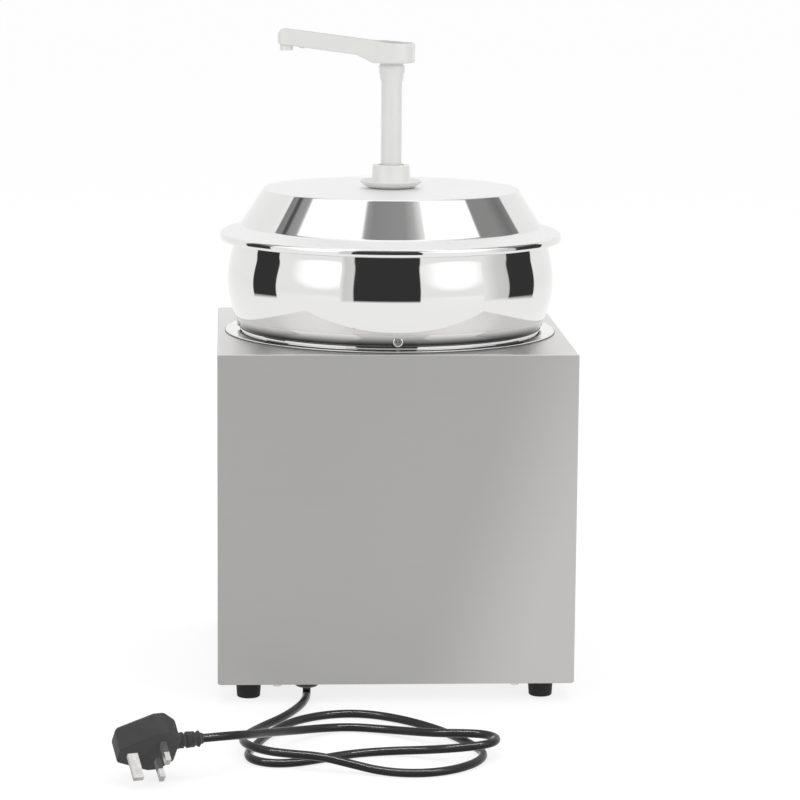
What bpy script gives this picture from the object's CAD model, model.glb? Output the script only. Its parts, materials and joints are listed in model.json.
import json
from math import cos, exp, log, pi, radians, sin, sqrt, tan

import bmesh
import bpy
from mathutils import Matrix, Vector

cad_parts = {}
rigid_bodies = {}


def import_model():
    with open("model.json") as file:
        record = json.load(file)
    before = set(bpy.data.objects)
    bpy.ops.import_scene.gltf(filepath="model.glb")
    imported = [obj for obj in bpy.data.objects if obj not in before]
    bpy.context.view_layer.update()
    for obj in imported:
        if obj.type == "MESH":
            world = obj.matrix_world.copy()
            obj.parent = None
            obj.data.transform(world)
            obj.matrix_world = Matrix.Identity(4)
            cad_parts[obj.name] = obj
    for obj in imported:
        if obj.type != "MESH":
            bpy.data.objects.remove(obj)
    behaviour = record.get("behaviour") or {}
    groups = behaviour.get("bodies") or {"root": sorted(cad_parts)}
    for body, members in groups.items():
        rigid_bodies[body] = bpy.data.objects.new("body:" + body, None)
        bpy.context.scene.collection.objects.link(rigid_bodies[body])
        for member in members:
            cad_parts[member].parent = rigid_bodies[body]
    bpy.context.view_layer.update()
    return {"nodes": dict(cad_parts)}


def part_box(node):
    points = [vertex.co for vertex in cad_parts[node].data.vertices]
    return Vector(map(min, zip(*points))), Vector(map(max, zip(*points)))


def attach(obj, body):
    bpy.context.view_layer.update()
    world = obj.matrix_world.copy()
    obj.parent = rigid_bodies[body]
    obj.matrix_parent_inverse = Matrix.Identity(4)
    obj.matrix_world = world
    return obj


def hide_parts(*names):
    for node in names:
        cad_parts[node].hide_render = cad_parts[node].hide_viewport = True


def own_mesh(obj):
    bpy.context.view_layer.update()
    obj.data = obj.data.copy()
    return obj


# Heated sauce dispenser seen from its back: brushed casing, mirror-polished bowl and lid,
# an off-white hand pump, and a mains cord on the ground.
# Sizes below are millimetres as in the part's source, and angles are degrees; meshes are metres.
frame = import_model()
NODES = frame["nodes"]

MM = 0.001
MID_Y = -9.6            # pump axis
DECK_Z = 296.0          # heights of the round pieces are measured from the deck
FRONT_Y = 140.4         # outer face of the front wall
CONTROL_Z = 79.0
SHEET_T = 1.0
RING_T = 1.5
LID_TOP_H = 124.5
CORNER_H = (4.5, 15.5)  # the bowl's foot darkens between these heights
LEVEL_NORMALS = (0.6, 0.8)      # upright part of the normal from which a face counts as level
SLANT_RISE = 0.29       # lean of the wall's soft lighter corner
SLANT_REACH = 0.11      # and its width, in metres
TURNS = 240             # faces round a polished piece
SAME_SPOT = 1e-6        # metres within which points are joined

# Camera
CAMERA_AT = (-0.1406, -2.6952, 0.6693)
CAMERA_LENS = 139.81
CAMERA_SENSOR_W = 36
CAMERA_YAW = 0.0558
CAMERA_PITCH = 0.1605
CAMERA_ROLL = 0.0082

# Cord, from the pump axis and the ground
CORD_R = 3.4
LOW = 3.45
CORD_POINTS = [
    (-75, -132, 10.5), (-75, -132, LOW), (-76, -146, LOW), (-81, -170, LOW), (-95, -205, LOW),
    (-113, -234, LOW), (-124, -262, 5.5), (-130.5, -292, 9.5), (-127.5, -318, 11.4),
    (-111, -336, 10.9), (-90, -345, 10.9), (-69, -352, 10.9), (-47, -359, 7), (-23, -369, LOW),
    (3, -376, LOW), (29, -369, LOW), (50, -350, LOW), (60, -328, LOW), (58, -307, LOW),
    (46, -279, LOW), (28, -246, LOW), (1, -215, LOW), (-29, -196, LOW), (-60, -198, LOW),
    (-90, -220, LOW), (-110, -260, LOW), (-119, -290, LOW), (-126, -312, LOW), (-124.5, -331, LOW),
    (-110.5, -344, LOW), (-91.5, -344, LOW), (-70, -333, LOW), (-44, -318, LOW), (-15, -311, LOW),
    (13, -318, 6), (31, -331, 10.5), (49.5, -336, 13.5), (66, -328.5, 14), (72, -310.5, 13),
    (63.5, -293.5, 11.8), (45, -287.5, 11.2), (26, -281, 9.5), (7, -265, 6.5), (-15, -248, 4),
    (-42, -238, LOW), (-66, -247, 4.95), (-84, -264, 8), (-98, -284, 12.5), (-112, -308, 18),
    (-125, -334, 24), (-141.56, -352.99, 28.25), (-160.98, -359.56, 28.25),
]

# Plug: x runs from the earth pin to the cord, z along the pins
PLUG_AT = (-214.2, -384.8, 22.4)
PLUG_TURN = 18.7
PLUG_TILT = 40.55
PLUG_T = 22.0
PLUG_CORNER_R = 5.0
PLUG_BACK_R = 5.0
PLUG_BACK_STEPS = 10
PLUG_FACE_R = 0.8
PLUG_FACE_STEPS = 4
PLUG_FACE_SINK = 0.15   # the pin face lies this much below the fuse cover
PLUG_OUTLINE = [
    (-11, -8.5), (17, -24.3), (26, -24.3), (36, -14), (36, 14), (26, 24.3), (17, 24.3), (-11, 8.5),
]
RELIEF_AT = (36, 0, -9)
RELIEF_OUTLINE = [
    (-0.8, 3.5), (-0.8, 6.4), (2.6, 6.4), (2.9, 5.0), (5.3, 5.0), (5.6, 6.4), (6.2, 6.4), (7.4, 4.9),
    (8.1, 4.9), (9.3, 6.4), (11.6, 6.4), (11.9, 4.9), (14.4, 4.9), (14.7, 6.3), (15.2, 6.1),
    (16.5, 4.9), (19.2, 6.5), (20.6, 4.6), (22.5, 4.1), (22.5, 3.5),
]
WEB_SIZE = (3.2, 2.2, 3.0)      # webs between the relief's ribs,
WEB_OUT = 5.2           # on both sides of its axis,
WEB_AT = (4.1, 13.2)    # and their places along it

# Studio
FLOOR_SIZE = 60.0
FLOOR_WHITE = 0.8       # what the floor scatters
FLOOR_SHADED = 0.28     # what a shadow can darken where it is seen,
FLOOR_GLOW = 0.78       # and what it can't
CARD_R = 1.55
CARD_STEP = 3           # degrees from one column of points to the next
CARD_FADE_Z = 0.07      # height over which a card's foot fades into the white floor
# Each card: low and high edge, and its shade at bearings from -Y towards +X
CARDS = [
    (0, 1.7, [(-36.5, 1), (-33.5, 0.74), (-27.6, 0.8), (-26.8, 0.04), (16.8, 0.04), (17.6, 1)]),
    (1.7, 6, [(-34, 1), (-31, 0.4), (-24, 0.3), (14, 0.34), (24, 0.5), (34, 1)]),
    (0, 1, [(63, 1), (74, 0.76), (84.4, 0.7), (85.4, 0.04), (113.2, 0.04), (114, 1)]),
    (1, 6, [(83, 1), (84.5, 0.3), (101, 0.3), (112, 0.2), (119, 0.28), (120, 1)]),
    (0, 1, [(-110.8, 1), (-110, 0.04), (-86.4, 0.04), (-85.6, 1)]),
    (1, 6, [(-113, 1), (-112, 0.24), (-107.5, 0.3), (-105.5, 0.08), (-103.5, 0.1),
            (-101.5, 0.34), (-94.5, 0.4), (-92.5, 1)]),
]
SOFTBOXES = [(-53.0, 12.0), (45.0, 12.0)]   # bearing and rise of the bright patches in the bowl
SOFTBOX_WIDTH = 2.0     # how much wider than high they are
SOFTBOX_EDGE = (0.91, 0.995)    # closeness to a patch's middle at its rim and where it is brightest
SOFTBOX_GLOW = 0.38
OVERHEAD_RISE = (0.2, 0.55)     # from here up the reflected sky brightens
OVERHEAD_GLOW = 0.35
CAMERA_SIDE = (0.5, 0.1)        # and only from here towards the camera
CARD_TINT = -0.006      # blue of the darkest shade, below zero to keep it warm
WHITE_LIGHT = (1, 1, 1, 1)
WORLD_STRENGTH = 0.74
# Lamps: name, place, aim, width and height, and power
LAMPS = [
    ("left_softbox", (-2.2, -1.9, 1.5), (0, 0, 0.3), (1.6, 1.6), 11),
    ("right_softbox", (2.0, -2.0, 1.3), (0, 0, 0.3), (1.6, 1.6), 13),
    ("top_softbox", (0.1, 0.2, 2.8), (0, 0, 0.3), (1.8, 1.8), 12),
]
STRIP_LAMP = ("strip_softbox", (-0.15, -0.95, 2.0), (-0.05, -0.3, 0), (3.4, 0.12), 150)


def unit(a, b):
    """Direction from a to b"""
    return (b - a).normalized()


# Outlines -----------------------------


def arc_points(centre, start, end, steps):
    """Points round a centre from start to end, both on the arc"""
    first = start - centre
    last = end - centre
    sweep = first.angle(last)
    made = []
    for i in range(steps + 1):
        share = i / steps
        a = sin((1 - share) * sweep) / sin(sweep)
        b = sin(share * sweep) / sin(sweep)
        made.append(centre + first * a + last * b)
    return made


def corner_arc(before, at, after, radius, steps):
    """Arc that rounds one corner"""
    back = unit(at, before)
    on = unit(at, after)
    half = back.angle(on) / 2
    reach = radius / tan(half)
    centre = at + (back + on).normalized() * (radius / sin(half))
    return centre, arc_points(centre, at + back * reach, at + on * reach, steps)


def rounded(points, radii, steps):
    """Open outline with its inner corners rounded"""
    at = [Vector(p) for p in points]
    made = [at[0]]
    for before, here, after, radius in zip(at, at[1:], at[2:], radii):
        made += corner_arc(before, here, after, radius, steps)[1]
    return made + [at[-1]]


def walled(path, wall):
    """Closed outline of a wall that lies to the left of an open path"""
    inner = []
    for i, here in enumerate(path):
        first = unit(path[max(i - 1, 0)], path[max(i, 1)])
        last = unit(path[min(i, len(path) - 2)], path[min(i + 1, len(path) - 1)])
        normals = [Vector((-d.y, d.x)) for d in (first, last)]
        middle = (normals[0] + normals[1]).normalized()
        inner.append(here + middle * (wall / middle.dot(normals[0])))
    return list(path) + inner[::-1]


def circle_outline(r, h, radius, steps=20):
    """Closed round outline"""
    return [Vector((r + radius * cos(2 * pi * i / steps), h + radius * sin(2 * pi * i / steps)))
            for i in range(steps)]


# Meshes -------------------------------


def add_turned(mesh, outline, place, turns=TURNS):
    """Adds a closed (radius, height) outline turned round the local Z axis of a place"""
    rings = []
    for i in range(turns):
        angle = 2 * pi * i / turns
        rings.append([mesh.verts.new(place @ (Vector((r * cos(angle), r * sin(angle), h)) * MM))
                      for r, h in outline])
    count = len(outline)
    for here, after in zip(rings, rings[1:] + rings[:1]):
        for j in range(count):
            k = (j + 1) % count
            mesh.faces.new((here[j], after[j], after[k], here[k]))


def add_box(mesh, size, place, bevel=0.0):
    """Adds a box of a size in millimetres, centred on a place, with rounded edges"""
    scale = Matrix.Diagonal((*[s * MM for s in size], 1))
    made = bmesh.ops.create_cube(mesh, size=1.0, matrix=place @ scale)
    if bevel:
        edges = {e for v in made["verts"] for e in v.link_edges}
        bmesh.ops.bevel(mesh, geom=list(edges), offset=bevel * MM, segments=3, affect="EDGES",
                        profile=0.5)


def add_layers(mesh, layers):
    """Adds a closed skin over equal loops of points, with a flat cap at both ends"""
    loops = [[mesh.verts.new(p * MM) for p in layer] for layer in layers]
    count = len(loops[0])
    for low, high in zip(loops, loops[1:]):
        for j in range(count):
            k = (j + 1) % count
            mesh.faces.new((low[j], low[k], high[k], high[j]))
    mesh.faces.new(loops[0])
    mesh.faces.new(loops[-1])


def finished(name, mesh, material, sharp=35.0):
    """Object from a bmesh: doubles merged, faces outwards, smooth but for its sharp edges"""
    bmesh.ops.remove_doubles(mesh, verts=mesh.verts, dist=SAME_SPOT)
    bmesh.ops.recalc_face_normals(mesh, faces=mesh.faces)
    for face in mesh.faces:
        face.smooth = True
    for edge in mesh.edges:
        edge.smooth = edge.calc_face_angle(0.0) < radians(sharp)
    return placed(name, mesh_data(name, mesh), material)


def mesh_data(name, mesh):
    """Mesh data from a bmesh, which is freed"""
    data = bpy.data.meshes.new(name)
    mesh.to_mesh(data)
    mesh.free()
    return data


def added(name, data):
    """New object in the scene, at the origin"""
    piece = bpy.data.objects.new(name, data)
    bpy.context.scene.collection.objects.link(piece)
    return piece


def paint(data, material):
    """Gives a mesh one material"""
    data.materials.clear()
    data.materials.append(material)


def placed(name, data, material):
    """Object of a finished mesh at the origin"""
    paint(data, material)
    return added(name, data)


def frame_at(origin, x_axis, z_axis):
    """Placing matrix from an origin in millimetres and two axes"""
    z = Vector(z_axis).normalized()
    x = Vector(x_axis).normalized()
    y = z.cross(x)
    place = Matrix((x, y, z)).transposed().to_4x4()
    place.translation = Vector(origin) * MM
    return place


ON_AXIS = frame_at((0, MID_Y, DECK_Z), (1, 0, 0), (0, 0, 1))


def turned(name, outlines, material, turns=TURNS):
    """Object of closed outlines turned round the pump axis"""
    mesh = bmesh.new()
    for outline in outlines:
        add_turned(mesh, outline, ON_AXIS, turns)
    return finished(name, mesh, material)


# Nodes --------------------------------


def add_node(tree, kind, inputs, **settings):
    """Node with its settings; each input takes a socket to join or a plain value"""
    node = tree.nodes.new(kind)
    for name, value in settings.items():
        setattr(node, name, value)
    for label, value in inputs.items():
        if isinstance(value, bpy.types.NodeSocket):
            tree.links.new(value, node.inputs[label])
        else:
            node.inputs[label].default_value = value
    return node


def result(tree, kind, inputs, **settings):
    """First output that a new node has in use"""
    return next(out for out in add_node(tree, kind, inputs, **settings).outputs if out.enabled)


def maths(tree, operation, *values):
    """Result of a sum of sockets and plain numbers"""
    return result(tree, "ShaderNodeMath", dict(enumerate(values)), operation=operation)


def vector_maths(tree, operation, *values):
    """Result of a sum of vectors, a vector or a number as the operation has it"""
    return result(tree, "ShaderNodeVectorMath", dict(enumerate(values)), operation=operation)


def blended(tree, value, first, last):
    """Colour between two colours by a value"""
    ends = {"Factor": value, "A": (*first, 1), "B": (*last, 1)}
    return result(tree, "ShaderNodeMix", ends, data_type="RGBA")


def axes_of(tree, vector):
    """The three parts of a vector, by axis"""
    return add_node(tree, "ShaderNodeSeparateXYZ", {"Vector": vector}).outputs


def own_place(tree):
    """Place on the piece itself"""
    return tree.nodes.new("ShaderNodeTexCoord").outputs["Object"]


def stretched(tree, value, low, high, bottom=0.0, top=1.0, **settings):
    """Spreads a value from low..high over bottom..top"""
    inputs = {"From Min": low, "From Max": high, "To Min": bottom, "To Max": top, "Value": value}
    return result(tree, "ShaderNodeMapRange", inputs, **settings)


def soft_step(tree, value, low, high, top):
    """0 below low, top above high, and smooth between"""
    return stretched(tree, value, low, high, 0.0, top, interpolation_type="SMOOTHSTEP")


# Repeats along a circle ---------------


def circle_tree():
    """Geometry tree that repeats its shape along a circle in the XY plane"""
    tree = bpy.data.node_groups.new("set_along_circle", "GeometryNodeTree")
    kinds = {"Geometry": "Geometry", "Count": "Int", "Step": "Float", "Orbit": "Float",
             "Finish": "Material"}
    for label, kind in kinds.items():
        tree.interface.new_socket(name=label, in_out="INPUT", socket_type="NodeSocket" + kind)
    tree.interface.new_socket(name="Geometry", in_out="OUTPUT", socket_type="NodeSocketGeometry")
    given = tree.nodes.new("NodeGroupInput").outputs
    spots = result(tree, "GeometryNodeMeshLine", {"Offset": (0, 0, 0), "Count": given["Count"]})
    angle = maths(tree, "MULTIPLY", result(tree, "GeometryNodeInputIndex", {}), given["Step"])
    place = result(tree, "ShaderNodeCombineXYZ", {
        "X": maths(tree, "MULTIPLY", maths(tree, "COSINE", angle), given["Orbit"]),
        "Y": maths(tree, "MULTIPLY", maths(tree, "SINE", angle), given["Orbit"])})
    turn = result(tree, "ShaderNodeCombineXYZ", {"Z": angle})
    points = result(tree, "GeometryNodeSetPosition", {"Geometry": spots, "Position": place})
    copies = result(tree, "GeometryNodeInstanceOnPoints", {
        "Points": points, "Instance": given["Geometry"], "Rotation": turn})
    real = result(tree, "GeometryNodeRealizeInstances", {"Geometry": copies})
    dressed = result(tree, "GeometryNodeSetMaterial", {"Geometry": real, "Material": given["Finish"]})
    add_node(tree, "NodeGroupOutput", {"Geometry": dressed})
    return tree


CIRCLE_TREE = circle_tree()


def along_circle(name, shape, count, step, orbit, material, place):
    """Piece of one shape repeated every step degrees along a circle of a place"""
    bmesh.ops.recalc_face_normals(shape, faces=shape.faces)
    holder = added(name + "_one", mesh_data(name + "_one", shape))
    change = holder.modifiers.new("along_circle", "NODES")
    change.node_group = CIRCLE_TREE
    given = {"Count": count, "Step": radians(step), "Orbit": orbit * MM, "Finish": material}
    for item in CIRCLE_TREE.interface.items_tree:
        if item.name in given:
            change[item.identifier] = given[item.name]
    bpy.context.view_layer.update()
    made = bpy.data.meshes.new_from_object(holder.evaluated_get(bpy.context.evaluated_depsgraph_get()))
    holder.modifiers.clear()
    bpy.data.objects.remove(holder)
    made.name = name
    made.transform(place)
    return placed(name, made, material)


# Effects shared by the materials ------

NOISE_SPAN = (0.3, 0.7)         # the part of a noise's values that is spread over 0..1
GRAIN_SPAN = (0.35, 0.65)
SMEAR_SPAN = (0.35, 0.7)


def effect(look, **inputs):
    """Shader group with number inputs and one output, Value, worked out by a function of its name"""
    tree = bpy.data.node_groups.new(look.__name__, "ShaderNodeTree")
    for label, value in inputs.items():
        socket = tree.interface.new_socket(name=label, in_out="INPUT", socket_type="NodeSocketFloat")
        socket.default_value = value
    tree.interface.new_socket(name="Value", in_out="OUTPUT", socket_type="NodeSocketFloat")
    value = look(tree, tree.nodes.new("NodeGroupInput").outputs)
    add_node(tree, "NodeGroupOutput", {"Value": value})
    return tree


def noise(tree, inputs, **settings):
    """Value of a noise texture"""
    return add_node(tree, "ShaderNodeTexNoise", inputs, **settings).outputs["Fac"]


def object_noise(tree, scales, detail, roughness=0.55):
    """Noise over the piece's own coordinates, stretched by three scales"""
    stretch = result(tree, "ShaderNodeCombineXYZ", dict(zip("XYZ", scales)))
    spot = vector_maths(tree, "MULTIPLY", own_place(tree), stretch)
    return noise(tree, {"Vector": spot, "Scale": 1.0, "Detail": detail, "Roughness": roughness})


def facing_up(tree):
    """Upright part of the surface's normal"""
    return axes_of(tree, tree.nodes.new("ShaderNodeNewGeometry").outputs["Normal"])["Z"]


def mottle(tree, given):
    """Soft uneven patches"""
    return stretched(tree, object_noise(tree, [given["Scale"]] * 3, 3.0), *NOISE_SPAN)


def brushed_lines(tree, given):
    """Fine straight lines left by brushing: level on the walls, and along X on level faces"""
    across = given["Across"]
    along = given["Along"]
    wall = object_noise(tree, (along, along, across), 4.0, 0.6)
    deck = object_noise(tree, (along, across, along), 4.0, 0.6)
    lies_level = stretched(tree, maths(tree, "ABSOLUTE", facing_up(tree)), *LEVEL_NORMALS)
    lines = result(tree, "ShaderNodeMix", {"Factor": lies_level, "A": wall, "B": deck})
    return stretched(tree, lines, *NOISE_SPAN)


def level_faces(tree, given):
    """1 on level faces and 0 on upright ones, a little more to the lower right, with soft patches"""
    patches = noise(tree, {"Scale": 5.0, "Vector": own_place(tree)})
    spot = axes_of(tree, own_place(tree))
    slope = maths(tree, "MULTIPLY_ADD", spot["Z"], -SLANT_RISE, spot["X"])
    slant = soft_step(tree, slope, 0.0, SLANT_REACH, given["Slant"])
    most = maths(tree, "MAXIMUM", stretched(tree, facing_up(tree), *LEVEL_NORMALS), slant)
    return maths(tree, "MULTIPLY_ADD", patches, given["Patches"], most)


def corner_shade(tree, given):
    """0 at the foot of the bowl, 1 a little above it"""
    return soft_step(tree, axes_of(tree, own_place(tree))["Z"], given["Low"], given["High"], 1.0)


def spun_rings(tree, given):
    """Fine rings round the pump axis, as spinning and polishing leave them"""
    parts = axes_of(tree, vector_maths(tree, "SUBTRACT", own_place(tree), (0, MID_Y * MM, 0)))
    level = result(tree, "ShaderNodeCombineXYZ", {"X": parts["X"], "Y": parts["Y"]})
    reach = maths(tree, "ADD", vector_maths(tree, "LENGTH", level), parts["Z"])
    spot = maths(tree, "MULTIPLY", reach, given["Across"])
    rings = noise(tree, {"W": spot, "Scale": 1.0, "Detail": 3.0}, noise_dimensions="1D")
    return stretched(tree, rings, *NOISE_SPAN)


def fine_pits(tree, given):
    """Fine grain of a moulded or cast surface"""
    return stretched(tree, object_noise(tree, [given["Scale"]] * 3, 2.0), *GRAIN_SPAN)


def wiped_smears(tree, given):
    """Broad smears left by wiping, longer one way than the other"""
    scale = given["Scale"]
    smears = object_noise(tree, (maths(tree, "MULTIPLY", scale, 0.25), scale, scale), 5.0, 0.65)
    return stretched(tree, smears, *SMEAR_SPAN)


MOTTLE = effect(mottle, Scale=20.0)
BRUSHED = effect(brushed_lines, Across=2500.0, Along=25.0)
LEVEL_FACES = effect(level_faces, Patches=0.08, Slant=0.345)
CORNER = effect(corner_shade, Low=(DECK_Z + CORNER_H[0]) * MM, High=(DECK_Z + CORNER_H[1]) * MM)
SPUN = effect(spun_rings, Across=1500.0)
PITTED = effect(fine_pits, Scale=1800.0)
WIPED = effect(wiped_smears, Scale=12.0)


# Materials ----------------------------


def plain(name, colour, roughness, metallic=0.0):
    """New material with a Principled shader; returns it and the shader"""
    material = bpy.data.materials.new(name)
    material.use_nodes = True
    shader = material.node_tree.nodes["Principled BSDF"]
    shader.inputs["Base Color"].default_value = (*colour, 1)
    shader.inputs["Roughness"].default_value = roughness
    shader.inputs["Metallic"].default_value = metallic
    return material, shader


def use(shader, group, values):
    """Output of an effect placed in a shader's material, with values in the order of its inputs"""
    return result(shader.id_data, "ShaderNodeGroup", dict(enumerate(values)), node_tree=group)


def blend_colour(shader, value, first, last):
    """Base colour between two colours by a value"""
    tree = shader.id_data
    tree.links.new(blended(tree, value, first, last), shader.inputs["Base Color"])


def vary_input(shader, name, value, low, high):
    """An input between two numbers by a value"""
    tree = shader.id_data
    tree.links.new(stretched(tree, value, 0.0, 1.0, low, high), shader.inputs[name])


def raise_surface(shader, value, depth):
    """Bump of a depth in millimetres by a value"""
    tree = shader.id_data
    bump = result(tree, "ShaderNodeBump", {"Strength": 1.0, "Distance": depth * MM, "Height": value})
    tree.links.new(bump, shader.inputs["Normal"])


def grey(level, warm=0.0):
    """Neutral colour with a little warmth"""
    return (level, level * (1 - warm / 2), level * (1 - warm))


def surfaced(name, colour, roughness, metallic, patches, sheen, relief, gloss=0.5):
    """Material whose colour, roughness and relief each follow an effect with its own values

    patches adds two colours, sheen two roughnesses and relief a depth in millimetres
    """
    material, shader = plain(name, colour, roughness, metallic)
    shader.inputs["Specular IOR Level"].default_value = gloss
    blend_colour(shader, use(shader, *patches[:2]), *patches[2:])
    vary_input(shader, "Roughness", use(shader, *sheen[:2]), *sheen[2:])
    raise_surface(shader, use(shader, *relief[:2]), relief[2])
    return material


def lid_steel():
    """Mirror finish with a satin level top"""
    level = (LEVEL_FACES, [0.05, 0.0])
    material = surfaced("lid_steel", grey(0.77), 0.035, 1.0, (*level, grey(0.77, 0.012), grey(0.97)),
                        (*level, 0.035, 0.42), FAINT_RINGS)
    shader = material.node_tree.nodes["Principled BSDF"]
    vary_input(shader, "Metallic", use(shader, *level), 1.0, 0.6)
    return material


def moulded(name, colour, shade, roughness, scale, depth):
    """Moulded plastic: a fine grain, soft patches and a slight wear of its gloss"""
    return surfaced(name, colour, roughness, 0.0, (MOTTLE, [35.0], colour, shade),
                    (WIPED, [40.0], roughness - 0.05, roughness + 0.07),
                    (PITTED, [scale], depth), 0.45)


def cast_metal(name, colour, shade, roughness, scale, depth):
    """Cast or dull metal with a coarse grain"""
    return surfaced(name, colour, roughness, 1.0, (MOTTLE, [45.0], colour, shade),
                    (MOTTLE, [90.0], roughness - 0.08, roughness + 0.1),
                    (PITTED, [scale], depth))


def lens_plastic(name, colour):
    """Clear coloured lens of a pilot lamp, with a faint ripple"""
    material, shader = plain(name, colour, 0.12)
    shader.inputs["Transmission Weight"].default_value = 0.55
    shader.inputs["IOR"].default_value = 1.49
    vary_input(shader, "Roughness", use(shader, MOTTLE, [400.0]), 0.08, 0.2)
    raise_surface(shader, use(shader, MOTTLE, [600.0]), 0.02)
    return material


FAINT_RINGS = (SPUN, [700], 0.0012)
SMEARS = (WIPED, [14], 0.02, 0.06)
# Sheet of the casing, brushed level, with soft patches
STEEL = surfaced(
    "brushed_steel", grey(0.6), 0.34, 1, (LEVEL_FACES, [], grey(0.385, 0.02), grey(0.72, 0.02)),
    (BRUSHED, [1600, 14], 0.3, 0.44), (BRUSHED, [1500, 14], 0.002))
# Mirror finish of the bowl, lid and ring; the bowl's darkens into the narrow corner above the ring
MIRROR = surfaced(
    "polished_steel", grey(0.77), 0.035, 1,
    (MOTTLE, [9], grey(0.76, 0.012), grey(0.785, 0.012)), SMEARS, FAINT_RINGS)
BOWL_STEEL = surfaced(
    "bowl_steel", grey(0.77), 0.035, 1, (CORNER, [], grey(0.02), grey(0.77, 0.012)), SMEARS,
    FAINT_RINGS)
LID_STEEL = lid_steel()
# Satin finish inside the pot and the well
DRAWN = surfaced(
    "drawn_steel", grey(0.62), 0.25, 1, (MOTTLE, [16], grey(0.58, 0.02), grey(0.66, 0.02)),
    (SPUN, [1400], 0.18, 0.32), (SPUN, [2200], 0.004))
# Bright screws, nuts, balls and the spring
PLATED = surfaced(
    "plated_steel", grey(0.62), 0.2, 1, (MOTTLE, [220], grey(0.55, 0.04), grey(0.68, 0.02)),
    (PITTED, [2600], 0.14, 0.3), (PITTED, [2200], 0.004))
# Plug pins, drawn along their length
PINS = surfaced(
    "plated_pins", grey(0.36), 0.2, 1, (MOTTLE, [150], grey(0.32, 0.03), grey(0.42, 0.03)),
    (BRUSHED, [3000, 60], 0.14, 0.3), (BRUSHED, [3200, 80], 0.004))
# Matt rubber of the feet, dusty in patches
RUBBER = surfaced(
    "black_rubber", grey(0.009), 0.62, 0, (MOTTLE, [60], grey(0.008), grey(0.016, 0.04)),
    (PITTED, [900], 0.55, 0.75), (PITTED, [1100], 0.02), 0.3)
# Smooth sheath of the cord, with a soft sheen
SHEATH = surfaced(
    "cord_sheath", grey(0.006), 0.24, 0, (MOTTLE, [30], grey(0.005), grey(0.009)),
    (WIPED, [60], 0.14, 0.2), (PITTED, [500], 0.006), 0.22)
# Dark grey moulding of the plug, finely sparked
PLUG_GREY = surfaced(
    "plug_plastic", grey(0.045), 0.55, 0, (MOTTLE, [50], grey(0.04), grey(0.05)),
    (PITTED, [1400], 0.48, 0.62), (PITTED, [1700], 0.018), 0.25)
# Cloudy silicone of the gasket and the seal
SILICONE = surfaced(
    "silicone", grey(0.7), 0.42, 0, (MOTTLE, [70], grey(0.66), grey(0.74)),
    (PITTED, [700], 0.36, 0.5), (PITTED, [900], 0.006))
# Off-white satin plastic of the pump, and the greyer panel on top of its arm
WHITE = moulded("white_plastic", (0.85, 0.85, 0.835), (0.825, 0.825, 0.81), 0.36, 1500, 0.004)
PANEL = moulded("panel_plastic", (0.4, 0.4, 0.395), (0.43, 0.43, 0.42), 0.4, 1500, 0.006)
BLACK = moulded("black_plastic", grey(0.018), grey(0.026), 0.38, 1300, 0.012)
SLEEVE = moulded("sleeve_plastic", grey(0.075), grey(0.09), 0.5, 1600, 0.01)
LEADS = moulded("lead_insulation", (0.3, 0.13, 0.07), (0.36, 0.17, 0.09), 0.42, 900, 0.006)
CREAM = moulded("cream_plastic", (0.72, 0.68, 0.56), (0.67, 0.63, 0.52), 0.45, 1200, 0.01)
CERAMIC = moulded("fuse_ceramic", (0.76, 0.73, 0.66), (0.7, 0.67, 0.6), 0.25, 800, 0.003)
PRINT = moulded("print_ink", grey(0.02), grey(0.03), 0.5, 1500, 0.004)
WHITE_INK = moulded("white_ink", grey(0.75), grey(0.68), 0.5, 1500, 0.004)
CAST = cast_metal("cast_aluminium", grey(0.55), grey(0.47, 0.02), 0.48, 500, 0.06)
ELEMENT = cast_metal("element_steel", grey(0.28, 0.05), grey(0.22, 0.1), 0.42, 800, 0.01)
COPPER = cast_metal("copper", (0.72, 0.42, 0.27), (0.62, 0.33, 0.2), 0.3, 900, 0.004)
DIAL = cast_metal("dial_aluminium", grey(0.66), grey(0.61), 0.34, 1800, 0.004)
BRASS = cast_metal("brass", (0.74, 0.56, 0.26), (0.66, 0.48, 0.2), 0.28, 900, 0.004)
GREEN = lens_plastic("green_lens", (0.05, 0.5, 0.14))
AMBER = lens_plastic("amber_lens", (0.85, 0.32, 0.03))

NODE_FINISHES = {
    STEEL: ["casing", "base_plate", "heater_clamp"],
    MIRROR: ["deck_ring", "bowl_shell", "lid"],
    DRAWN: ["water_well", "inner_pot"],
    PLATED: ["base_screws", "foot_screws", "foot_nuts", "ring_nuts", "collar_screws", "heater_stud",
             "heater_nut", "thermostat_screws", "stop_pin", "inlet_ball", "outlet_ball",
             "return_spring", "knob_shaft"],
    WHITE: ["pump_hub", "hub_nut", "pump_cylinder", "dip_tube", "inlet_cage", "piston", "piston_nut",
            "pump_stem", "stem_collar", "pump_head", "spout_tip"],
    SILICONE: ["hub_gasket", "piston_seal"],
    RUBBER: ["feet"],
    BLACK: ["cable_gland", "gland_locknut", "switch_body", "switch_key", "lamp_bodies",
            "thermostat_knob"],
    PLUG_GREY: ["plug_body", "fuse_cover"],
    SHEATH: ["cord"],
    SLEEVE: ["pin_sleeves"],
    LEADS: ["internal_leads"],
    PINS: ["earth_pin", "line_pins"],
    BRASS: ["terminal_screws"],
    CREAM: ["terminal_block", "thermostat", "thermal_cutout"],
    CAST: ["heater_plate"],
    ELEMENT: ["heating_element"],
    COPPER: ["thermostat_bulb"],
    DIAL: ["dial_plate"],
    CERAMIC: ["plug_fuse"],
    GREEN: ["power_lens"],
    AMBER: ["heat_lens"],
}


def dress_nodes():
    """Gives each CAD node its finish"""
    for material, names in NODE_FINISHES.items():
        for name in names:
            paint(NODES[name].data, material)


# Camera and studio --------------------


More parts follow.
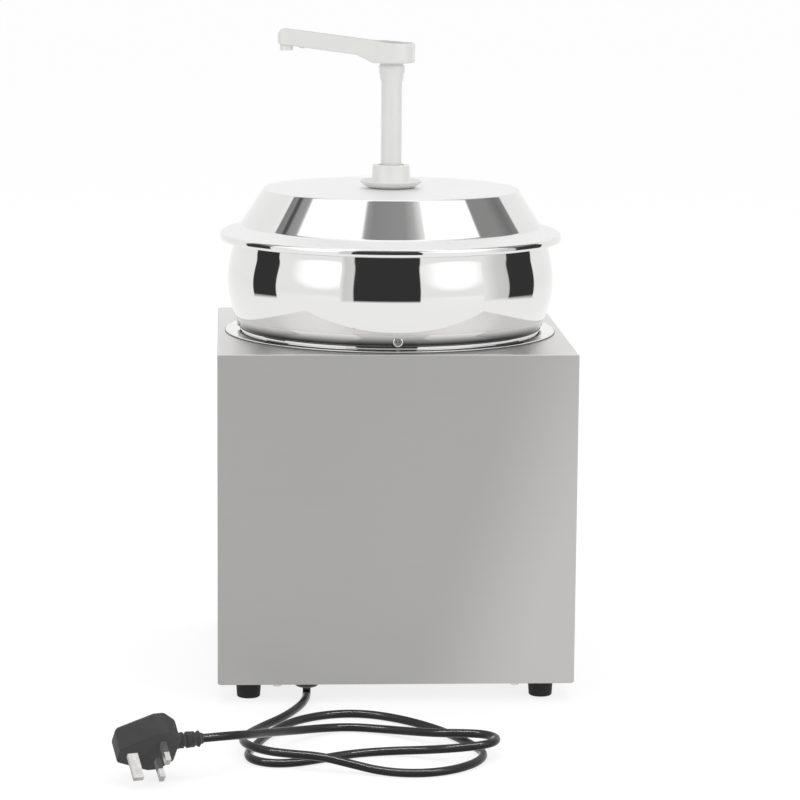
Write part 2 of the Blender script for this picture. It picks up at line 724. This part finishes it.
def add_camera():
    """Camera at the photograph's viewing angle"""
    data = bpy.data.cameras.new("camera")
    data.sensor_width = CAMERA_SENSOR_W
    data.lens = CAMERA_LENS
    forward = Vector((sin(CAMERA_YAW) * cos(CAMERA_PITCH), cos(CAMERA_YAW) * cos(CAMERA_PITCH),
                      -sin(CAMERA_PITCH)))
    level = Vector((cos(CAMERA_YAW), -sin(CAMERA_YAW), 0))
    upright = level.cross(forward)
    right = level * cos(CAMERA_ROLL) + upright * sin(CAMERA_ROLL)
    up = upright * cos(CAMERA_ROLL) - level * sin(CAMERA_ROLL)
    place = Matrix((right, up, -forward)).transposed().to_4x4()
    place.translation = CAMERA_AT
    camera = added("camera", data)
    camera.matrix_world = place
    bpy.context.scene.camera = camera


def seen_directly(tree):
    """1 for rays from the camera, from a reflection or through glass"""
    rays = tree.nodes.new("ShaderNodeLightPath").outputs
    value = rays["Is Camera Ray"]
    for name in ("Is Glossy Ray", "Is Transmission Ray"):
        value = maths(tree, "MAXIMUM", value, rays[name])
    return value


def by_sight(tree, unseen, seen, output):
    """Shows one shader to scattered light and another where it is seen"""
    mix = result(tree, "ShaderNodeMixShader", {"Fac": seen_directly(tree), 1: unseen, 2: seen})
    tree.links.new(mix, tree.nodes[output].inputs["Surface"])


def white_world():
    """Even white light, and where it is seen plain white, brighter overhead for the reflections"""
    world = bpy.data.worlds.new("studio")
    world.use_nodes = True
    bpy.context.scene.world = world
    tree = world.node_tree
    tree.nodes.remove(tree.nodes["Background"])
    soft = result(tree, "ShaderNodeBackground", {"Color": WHITE_LIGHT, "Strength": WORLD_STRENGTH})
    way = tree.nodes.new("ShaderNodeTexCoord").outputs["Generated"]
    parts = axes_of(tree, way)
    overhead = soft_step(tree, parts["Z"], *OVERHEAD_RISE, OVERHEAD_GLOW)
    camera_side = soft_step(tree, parts["Y"], *CAMERA_SIDE, 1.0)
    strength = maths(tree, "ADD", maths(tree, "MULTIPLY", overhead, camera_side), 1.0)
    squeezed = vector_maths(tree, "MULTIPLY", way, (1, 1, SOFTBOX_WIDTH))
    squeezed = vector_maths(tree, "NORMALIZE", squeezed)
    for bearing, rise in SOFTBOXES:
        turn = radians(bearing)
        middle = Vector((sin(turn), -cos(turn), SOFTBOX_WIDTH * sin(radians(rise)))).normalized()
        near = vector_maths(tree, "DOT_PRODUCT", squeezed, middle)
        patch = soft_step(tree, near, *SOFTBOX_EDGE, SOFTBOX_GLOW)
        strength = maths(tree, "ADD", strength, patch)
    backdrop = result(tree, "ShaderNodeBackground", {"Color": WHITE_LIGHT, "Strength": strength})
    by_sight(tree, soft, backdrop, "World Output")


def bare_material(name):
    """New material without a shader; returns it and its tree"""
    material = bpy.data.materials.new(name)
    material.use_nodes = True
    tree = material.node_tree
    tree.nodes.remove(tree.nodes["Principled BSDF"])
    return material, tree


def floor_finish():
    """White floor that still takes a soft shadow"""
    material, tree = bare_material("white_floor")
    paper = result(tree, "ShaderNodeBsdfDiffuse", {"Color": (*grey(FLOOR_WHITE), 1)})
    shaded = result(tree, "ShaderNodeBsdfDiffuse", {"Color": (*grey(FLOOR_SHADED), 1)})
    glow = result(tree, "ShaderNodeEmission", {"Strength": FLOOR_GLOW})
    both = result(tree, "ShaderNodeAddShader", {0: shaded, 1: glow})
    by_sight(tree, paper, both, "Material Output")
    return material


def card_finish():
    """A card's shade for rays from the bowl and the lid, and white for rays from below them"""
    material, tree = bare_material("studio_card")
    hit = tree.nodes.new("ShaderNodeNewGeometry").outputs
    reach = tree.nodes.new("ShaderNodeLightPath").outputs["Ray Length"]
    start = vector_maths(tree, "MULTIPLY_ADD", hit["Incoming"], reach, hit["Position"])
    low = (DECK_Z + RING_T) * MM
    above_deck = stretched(tree, axes_of(tree, start)["Z"], low, low + MM)
    shade = add_node(tree, "ShaderNodeAttribute", {}, attribute_name="shade").outputs["Fac"]
    level = result(tree, "ShaderNodeMix", {"Factor": above_deck, "A": 1.0, "B": shade})
    tone = blended(tree, level, (0, 0, CARD_TINT), (1, 1, 1))
    glow = result(tree, "ShaderNodeEmission", {"Color": tone})
    tree.links.new(glow, tree.nodes["Material Output"].inputs["Surface"])
    return material


def add_floor():
    """Plain floor"""
    mesh = bmesh.new()
    bmesh.ops.create_grid(mesh, x_segments=1, y_segments=1, size=FLOOR_SIZE / 2)
    placed("floor", mesh_data("floor", mesh), floor_finish())


def add_card(name, low, high, shades, material):
    """Curved upright card round the object, seen only in its polished faces"""
    mesh = bmesh.new()
    layer = mesh.verts.layers.float.new("shade")
    rows = [low, low + CARD_FADE_Z, high] if low == 0 else [low, high]
    columns = []
    for (first, dark), (last, light) in zip(shades, shades[1:]):
        steps = max(1, round((last - first) / CARD_STEP))
        for i in range(steps + 1):
            bearing = radians(first + (last - first) * i / steps)
            column = []
            for z in rows:
                vert = mesh.verts.new((CARD_R * sin(bearing), -CARD_R * cos(bearing), z))
                vert[layer] = 1.0 if z == 0 else dark + (light - dark) * i / steps
                column.append(vert)
            columns.append(column)
    for first, last in zip(columns, columns[1:]):
        for j in range(len(rows) - 1):
            mesh.faces.new((first[j], last[j], last[j + 1], first[j + 1]))
    bmesh.ops.remove_doubles(mesh, verts=mesh.verts, dist=SAME_SPOT)
    card = placed(name, mesh_data(name, mesh), material)
    card.visible_camera = False
    card.visible_diffuse = False
    card.visible_shadow = False
    card.visible_transmission = False


def add_cards():
    """Dark gaps between the softboxes, which the polished steel mirrors"""
    material = card_finish()
    for i, (low, high, shades) in enumerate(CARDS):
        add_card(f"card_{i}", low, high, shades, material)


def add_lamp(name, at, aim, size, power):
    """Softbox of a width and a height"""
    data = bpy.data.lights.new(name, "AREA")
    data.shape = "RECTANGLE"
    data.size, data.size_y = size
    data.energy = power
    lamp = added(name, data)
    lamp.location = at
    lamp.rotation_euler = (Vector(aim) - Vector(at)).to_track_quat("-Z", "Y").to_euler()
    return lamp


def light_only(name, pieces, lamps):
    """Adds lamps that light only some of the pieces"""
    lit = bpy.data.collections.new(name)
    for piece in pieces:
        lit.objects.link(piece)
    for lamp in lamps:
        add_lamp(*lamp).light_linking.receiver_collection = lit


def add_lamps():
    """Softboxes that leave out the large steel pieces, and a strip that draws lines on the cord"""
    large = (STEEL, MIRROR, LID_STEEL, BOWL_STEEL)
    pieces = [piece for piece in bpy.context.scene.objects
              if piece.type in ("MESH", "CURVE") and piece.active_material not in large]
    light_only("lit_by_lamps", pieces, LAMPS)
    dark = [piece for piece in pieces if piece.active_material in (SHEATH, BLACK)]
    light_only("lit_by_strip", dark, [STRIP_LAMP])


# Round polished pieces ----------------

BOWL_TOP_H = 80.0
BOWL_FLANGE_R = 127.3
# Guide points of the bowl's wall: neck, turn, belly and top, as (radius, height)
BOWL_GUIDE = [
    (130.9, 4.4), (131.3, 6.4), (132.2, 9.2), (134.9, 13.0), (137.6, 20.0), (140.3, 30.0),
    (141.9, 44.0), (141.0, 56.0), (139.0, 66.0), (137.2, 73.0), (137.0, 77.0), (137.0, 80.0),
]
RING_R = 143.6
RING_NECK_H = 12.0
RING_NECK_R = 129.9
RING_HOLE_R = 128.7
RING_FILLETS = [0.3, 1.1, 0.3, 0.2]
STUD_R = 2.0
STUD_L = 9.0
STUD_ORBIT = 137.0
STUD_COUNT = 6
JOINT_LINES = [(130.6, 4.2, 0.75), (143.3, 0.4, 0.6)]     # radius, height, thickness
LID_CURL_R = 1.6
LID_R = 148.3
LID_CURL_H = 81.6
# Corners of the lid's wall from its curl to the pump's hole, and their fillets
LID_GUIDE = [(LID_R, LID_CURL_H), (LID_R, 86.2), (131.4, 92), (110.2, LID_TOP_H), (14.2, LID_TOP_H)]
LID_FILLETS = [4, 5, 3.5]


def flowing(points, steps):
    """Smooth open curve led by points, which starts and ends on them"""
    at = [Vector(p) for p in points]
    at = [at[0] * 2 - at[1]] + at + [at[-1] * 2 - at[-2]]
    made = []
    for a, b, c, d in zip(at, at[1:], at[2:], at[3:]):
        for i in range(steps):
            t = i / steps
            made.append((a * (1 - t) ** 3 + b * (3 * t ** 3 - 6 * t ** 2 + 4)
                         + c * (-3 * t ** 3 + 3 * t ** 2 + 3 * t + 1) + d * t ** 3) / 6)
    return made + [at[-2]]


def make_bowl():
    """Spun bowl with its turned-in upper edge"""
    path = flowing(BOWL_GUIDE, 10)
    path.append(Vector((BOWL_FLANGE_R, BOWL_TOP_H)))
    bowl = turned("bowl", [walled(path, SHEET_T)], BOWL_STEEL)
    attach(bowl, "base")
    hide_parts("bowl_shell")


def make_lid():
    """Spun lid with its curled edge"""
    wall = walled(rounded(LID_GUIDE, LID_FILLETS, 12), SHEET_T)
    curl = circle_outline(LID_R - LID_CURL_R, LID_CURL_H, LID_CURL_R)
    lid = turned("spun_lid", [wall, curl], LID_STEEL)
    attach(lid, "lid_and_barrel")
    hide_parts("lid")


def make_deck_ring():
    """Ring on the deck with a rounded outer edge, and the studs below it"""
    corners = [(RING_HOLE_R, 0), (RING_R, 0), (RING_R, RING_T), (RING_NECK_R, RING_T),
               (RING_NECK_R, RING_NECK_H), (RING_HOLE_R, RING_NECK_H)]
    edge = rounded(corners, RING_FILLETS, 6)
    ring = turned("polished_ring", [edge], MIRROR)
    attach(ring, "base")
    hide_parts("deck_ring")
    stud = bmesh.new()
    bmesh.ops.create_cone(stud, cap_ends=True, segments=20, radius1=STUD_R * MM, radius2=STUD_R * MM,
                          depth=STUD_L * MM, matrix=Matrix.Translation((0, 0, -STUD_L / 2 * MM)))
    studs = along_circle("ring_studs", stud, STUD_COUNT, 360 / STUD_COUNT, STUD_ORBIT, PLATED, ON_AXIS)
    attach(studs, "base")


def make_joint_lines():
    """Thin dark sealing lines below the bowl and round the ring's edge"""
    outlines = [circle_outline(r, h, radius, 10) for r, h, radius in JOINT_LINES]
    lines = turned("joint_lines", outlines, BLACK)
    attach(lines, "base")


# Pump ---------------------------------

# Hub with a dished flange, as (radius, height) from the lid's top
HUB_OUTLINE = [
    (9.07, -32), (14, -32), (14, 0), (16.4, 0), (18.6, 0.35), (21.2, 1.3), (23.6, 2.6), (25.4, 4.0),
    (26.4, 5.2), (26.8, 6.0), (26.7, 6.4), (26.2, 6.5), (24.6, 5.5), (22.6, 4.3), (20.2, 3.5),
    (18.0, 3.4), (17.0, 4.0), (16.7, 5.0), (16.0, 19.2), (15.8, 19.8), (15.2, 20), (11.0, 20),
    (11.0, -4), (9.07, -4),
]
HEAD_TOP_H = 249.4
HEAD_R = 20.0
PANEL_SINK = 1.5
PANEL_INSET = 1.75
PANEL_END_X = 93.7
PANEL_TIP_R = 5.9
PANEL_NEAR_X = 14.4     # here the panel along the arm has this half width,
PANEL_NEAR_W = 9.25
PANEL_TAPER = 3.0 / 79.5        # and it narrows towards the tip
PANEL_BLEND = 0.7       # softness of the corner where the arm leaves the boss
PANEL_BOSS_X = 6.0      # up to here the boss alone counts
PANEL_STEPS = 80        # along the arm
PANEL_SIDE_STEPS = 6    # from the middle to each side
PANEL_T = 0.25
PANEL_CROWN = 2.8       # rise of the panel's middle over the head
PANEL_ROOF = 0.7        # and along the arm
ARM_SLOPE = 12.6 / 98.4
ARM_SEAM_X = 80.0
ARM_SEAM_H = 14.0       # height of the arm at its seam
CLIP_BACK = 2.4         # from the seam to the clip's middle
CLIP_SIZE = (4.2, 7.0, 1.6)
CLIP_SINK = 0.5
CLIP_EDGE_R = 0.4
SPRING_WIRE_R = 0.8
SPRING_TURNS = 7
SPRING_STEPS = 36       # in each turn
SPRING_SIDES = 12       # faces round the wire


def make_hub():
    """Pump hub with its dished flange"""
    hub = turned("dished_hub", [[(r, LID_TOP_H + h) for r, h in HUB_OUTLINE]], WHITE, 120)
    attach(hub, "lid_and_barrel")
    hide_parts("pump_hub")


def make_spring():
    """Return spring, which the piston presses together"""
    low, high = [Vector(corner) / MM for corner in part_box("return_spring")]
    radius = (high.x - low.x) / 2 - SPRING_WIRE_R
    length = high.z - low.z
    steps = SPRING_TURNS * SPRING_STEPS
    layers = []
    for i in range(steps + 1):
        angle = 2 * pi * SPRING_TURNS * i / steps
        out = Vector((cos(angle), sin(angle), 0))
        rise = low.z + SPRING_WIRE_R + (length - 2 * SPRING_WIRE_R) * i / steps
        centre = out * radius + Vector((0, MID_Y, rise))
        around = [2 * pi * k / SPRING_SIDES for k in range(SPRING_SIDES)]
        layers.append([centre + (out * cos(t) + Vector((0, 0, sin(t)))) * SPRING_WIRE_R
                       for t in around])
    mesh = bmesh.new()
    add_layers(mesh, layers)
    spring = finished("wound_spring", mesh, PLATED, 60.0)
    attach(spring, "lid_and_barrel")
    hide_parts("return_spring")
    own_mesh(spring)


def panel_half_width(x):
    """Half width of the arm's top panel at a place along it"""
    boss = sqrt(max((HEAD_R - PANEL_INSET) ** 2 - x ** 2, 0.0))
    arm = PANEL_NEAR_W + (x + PANEL_NEAR_X) * PANEL_TAPER
    tip = PANEL_END_X + x
    if tip < PANEL_TIP_R:
        arm += sqrt(max(PANEL_TIP_R ** 2 - (PANEL_TIP_R - tip) ** 2, 0.0)) - PANEL_TIP_R
    if x > -PANEL_BOSS_X:
        return boss
    return PANEL_BLEND * log(exp(boss / PANEL_BLEND) + exp(max(arm, 0.0) / PANEL_BLEND))


def make_arm_panel():
    """Greyer panel that lies in the recess along the arm's top"""
    layers = []
    start = HEAD_R - PANEL_INSET
    for i in range(PANEL_STEPS + 1):
        x = start - (start + PANEL_END_X) * i / PANEL_STEPS
        half = max(panel_half_width(x), 0.05)
        h = HEAD_TOP_H - PANEL_SINK + max(0.0, -x * ARM_SLOPE)
        layer = [Vector((x, MID_Y + half, DECK_Z + h)), Vector((x, MID_Y - half, DECK_Z + h))]
        for j in range(-PANEL_SIDE_STEPS, PANEL_SIDE_STEPS + 1):
            y = half * j / PANEL_SIDE_STEPS
            inside = max(0.0, 1 - (x * x + y * y) / start ** 2)
            rise = max(PANEL_CROWN * inside, PANEL_ROOF * (1 - (y / half) ** 2))
            layer.append(Vector((x, MID_Y + y, DECK_Z + h + PANEL_T + rise)))
        layers.append(layer)
    mesh = bmesh.new()
    add_layers(mesh, layers)
    panel = finished("arm_panel", mesh, PANEL)
    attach(panel, "head_and_stem")


def make_tip_clip():
    """Small clip under the arm that holds the spout tip at its seam"""
    mesh = bmesh.new()
    low_h = HEAD_TOP_H + ARM_SLOPE * ARM_SEAM_X - ARM_SEAM_H
    at = (-ARM_SEAM_X + CLIP_BACK, MID_Y, DECK_Z + low_h - CLIP_SINK)
    place = frame_at(at, (1, 0, -ARM_SLOPE), (ARM_SLOPE, 0, 1))
    add_box(mesh, CLIP_SIZE, place, CLIP_EDGE_R)
    clip = finished("tip_clip", mesh, WHITE)
    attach(clip, "head_and_stem")


# Controls -----------------------------

KNOB_X = 62.0
DIAL_OUT = 0.8
PRINT_RISE = 0.03       # half the thickness of the dial's print
DIAL_NUMBER_R = 24.6
DIAL_NUMBER_SIZE = 4.2
DIAL_STEP = 30.0
TICK_SIZE = (0.9, 0.35, 0.06)
TICK_COUNT = 19
TICK_STEP = 15
TICK_ORBIT = 21.9
KNOB_FACE_OUT = 19.2
GROOVE_D = 0.6
POINTER_SIZE = (1.3, 9.4, 0.44)
POINTER_EDGE_R = 0.1
POINTER_RISE = 9.9
SWITCH_X = -62.0
KEY_TILT = 10.0
KEY_OUT = 4.2           # from the wall to the middle of each half's face
KEY_REACH = 10.3        # length of each half,
KEY_RISE = 2.0          # and how much further out its end lies
MARK_LINE = (0.7, 4.6, 0.12)
MARK_RING = [(1.6, -0.06), (2.2, -0.06), (2.2, 0.06), (1.6, 0.06)]
MARK_OUT = 0.04


def front_place(x, out, rise):
    """Place on the front wall: its z points out and its y up"""
    return frame_at((x, FRONT_Y + out, CONTROL_Z + rise), (-1, 0, 0), (0, 1, 0))


def add_text(mesh, words, size, place):
    """Adds a thin solid word or number"""
    curve = bpy.data.curves.new("number", "FONT")
    curve.body = words
    curve.size = size * MM
    curve.extrude = PRINT_RISE * MM
    curve.resolution_u = 4
    curve.align_x = "CENTER"
    curve.align_y = "CENTER"
    holder = bpy.data.objects.new("number", curve)
    data = bpy.data.meshes.new_from_object(holder)
    data.transform(place)
    mesh.from_mesh(data)
    bpy.data.objects.remove(holder)
    bpy.data.meshes.remove(data)


def make_dial_marks():
    """Numbers of the dial, from 0 at the top to 9, and its ticks"""
    mesh = bmesh.new()
    for number in range(10):
        angle = radians(number * DIAL_STEP)
        x = KNOB_X - DIAL_NUMBER_R * sin(angle)
        place = front_place(x, DIAL_OUT + PRINT_RISE, DIAL_NUMBER_R * cos(angle))
        add_text(mesh, str(number), DIAL_NUMBER_SIZE, place)
    numbers = finished("dial_numbers", mesh, PRINT)
    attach(numbers, "base")
    tick = bmesh.new()
    add_box(tick, TICK_SIZE, Matrix.Translation((0, 0, PRINT_RISE * MM)))
    start = front_place(KNOB_X, DIAL_OUT, 0) @ Matrix.Rotation(radians(-180), 4, "Z")
    ticks = along_circle("dial_ticks", tick, TICK_COUNT, TICK_STEP, TICK_ORBIT, PRINT, start)
    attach(ticks, "base")


def make_knob_pointer():
    """White line in the knob's groove"""
    mesh = bmesh.new()
    out = KNOB_FACE_OUT - GROOVE_D + POINTER_SIZE[2] / 2
    add_box(mesh, POINTER_SIZE, front_place(KNOB_X, out, POINTER_RISE), POINTER_EDGE_R)
    pointer = finished("knob_pointer", mesh, WHITE_INK)
    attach(pointer, "knob")


def make_switch_marks():
    """Line and ring on the two halves of the switch key"""
    tilt = radians(KEY_TILT)
    out = Vector((0, cos(tilt), -sin(tilt)))
    up = Vector((0, sin(tilt), cos(tilt)))
    origin = Vector((SWITCH_X, FRONT_Y, CONTROL_Z))
    mesh = bmesh.new()
    for side in (1, -1):
        along = (out * KEY_RISE + up * side * KEY_REACH).normalized()
        facing = (out * KEY_REACH - up * side * KEY_RISE).normalized()
        middle = origin + out * KEY_OUT + up * side * KEY_REACH / 2 + facing * MARK_OUT
        if side == 1:
            add_box(mesh, MARK_LINE, frame_at(middle, along.cross(facing), facing))
        else:
            add_turned(mesh, MARK_RING, frame_at(middle, (-1, 0, 0), facing), 40)
    marks = finished("switch_marks", mesh, WHITE_INK)
    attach(marks, "switch_key")


# Cord and plug ------------------------


def plug_place():
    """Place of the plug's pin face"""
    turn = radians(PLUG_TURN)
    tilt = radians(PLUG_TILT)
    x = (cos(turn), sin(turn), 0)
    z = (cos(tilt) * sin(turn), -cos(tilt) * cos(turn), -sin(tilt))
    return frame_at((PLUG_AT[0], PLUG_AT[1] + MID_Y, PLUG_AT[2]), x, z)


PLUG = plug_place()


def make_plug():
    """Plug body with a rounded back, and its ribbed strain relief"""
    at = [Vector(p) for p in PLUG_OUTLINE]
    spokes = []
    for before, here, after in zip(at[-1:] + at[:-1], at, at[1:] + at[:1]):
        centre, points = corner_arc(before, here, after, PLUG_CORNER_R, 8)
        spokes += [(centre, (p - centre).normalized()) for p in points]
    levels = [(PLUG_FACE_SINK, PLUG_FACE_R)]
    for i in range(1, PLUG_FACE_STEPS + 1):
        angle = pi / 2 * i / PLUG_FACE_STEPS
        depth = PLUG_FACE_SINK + PLUG_FACE_R * (1 - cos(angle))
        levels.append((depth, PLUG_FACE_R * (1 - sin(angle))))
    for i in range(PLUG_BACK_STEPS):
        angle = pi / 2 * i / PLUG_BACK_STEPS
        depth = PLUG_T - PLUG_BACK_R + PLUG_BACK_R * sin(angle)
        levels.append((depth, PLUG_BACK_R * (1 - cos(angle))))
    levels.append((PLUG_T, PLUG_BACK_R - 0.01))
    mesh = bmesh.new()
    layers = []
    for depth, inset in levels:
        flat = [centre + way * (PLUG_CORNER_R - inset) for centre, way in spokes]
        layers.append([(PLUG @ (Vector((p.x, p.y, -depth)) * MM)) / MM for p in flat])
    add_layers(mesh, layers)
    relief = PLUG @ frame_at(RELIEF_AT, (0, 1, 0), (1, 0, 0))
    add_turned(mesh, [(r, x) for x, r in RELIEF_OUTLINE], relief, 48)
    for middle in WEB_AT:
        for side in (-1, 1):
            web = relief @ Matrix.Translation(Vector((0, side * WEB_OUT, middle)) * MM)
            add_box(mesh, WEB_SIZE, web)
    body = finished("moulded_plug", mesh, PLUG_GREY)
    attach(body, "base")
    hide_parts("plug_body")
    return body


def make_cord(body):
    """Mains cord: out of the gland, two loose loops on the ground, and up to the plug"""
    data = bpy.data.curves.new("mains_cord", "CURVE")
    data.dimensions = "3D"
    data.resolution_u = 12
    data.bevel_depth = CORD_R * MM
    data.bevel_resolution = 6
    data.use_fill_caps = True
    line = data.splines.new("NURBS")
    line.points.add(len(CORD_POINTS) - 1)
    for point, (x, y, z) in zip(line.points, CORD_POINTS):
        point.co = (x * MM, (y + MID_Y) * MM, z * MM, 1)
    line.order_u = 3
    line.use_endpoint_u = True
    data.materials.append(SHEATH)
    cord = added("mains_cord", data)
    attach(cord, "base")
    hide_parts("cord")
    x, y, z = CORD_POINTS[0]


# Pieces on the ground that the steel doesn't mirror in the photograph
UNMIRRORED = ["mains_cord", "moulded_plug", "earth_pin", "line_pins", "pin_sleeves", "fuse_cover"]
GLAND_AT = (-75.0, -132.0)
GLAND_RIB_COUNT = 20
GLAND_RIB_SIZE = (0.8, 1.3, 2.2)
GLAND_RIB_EDGE_R = 0.25
GLAND_RIB_ORBIT = 10.9
GLAND_RIB_Z = 14.7


def make_gland_ribs():
    """Grip ribs round the cable gland"""
    rib = bmesh.new()
    add_box(rib, GLAND_RIB_SIZE, Matrix.Identity(4), GLAND_RIB_EDGE_R)
    place = frame_at((GLAND_AT[0], GLAND_AT[1] + MID_Y, GLAND_RIB_Z), (1, 0, 0), (0, 0, 1))
    ribs = along_circle("gland_ribs", rib, GLAND_RIB_COUNT, 360 / GLAND_RIB_COUNT, GLAND_RIB_ORBIT,
                        BLACK, place)
    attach(ribs, "base")


add_camera()
dress_nodes()
make_cord(make_plug())
white_world()
add_floor()
add_cards()
make_bowl()
make_lid()
make_deck_ring()
make_joint_lines()
make_hub()
make_spring()
make_arm_panel()
make_tip_clip()
make_dial_marks()
make_knob_pointer()
make_switch_marks()
make_gland_ribs()
add_lamps()
for piece in bpy.context.scene.objects:
    if piece.name in UNMIRRORED:
        piece.visible_glossy = False

bpy.context.scene.view_settings.view_transform = "Standard"
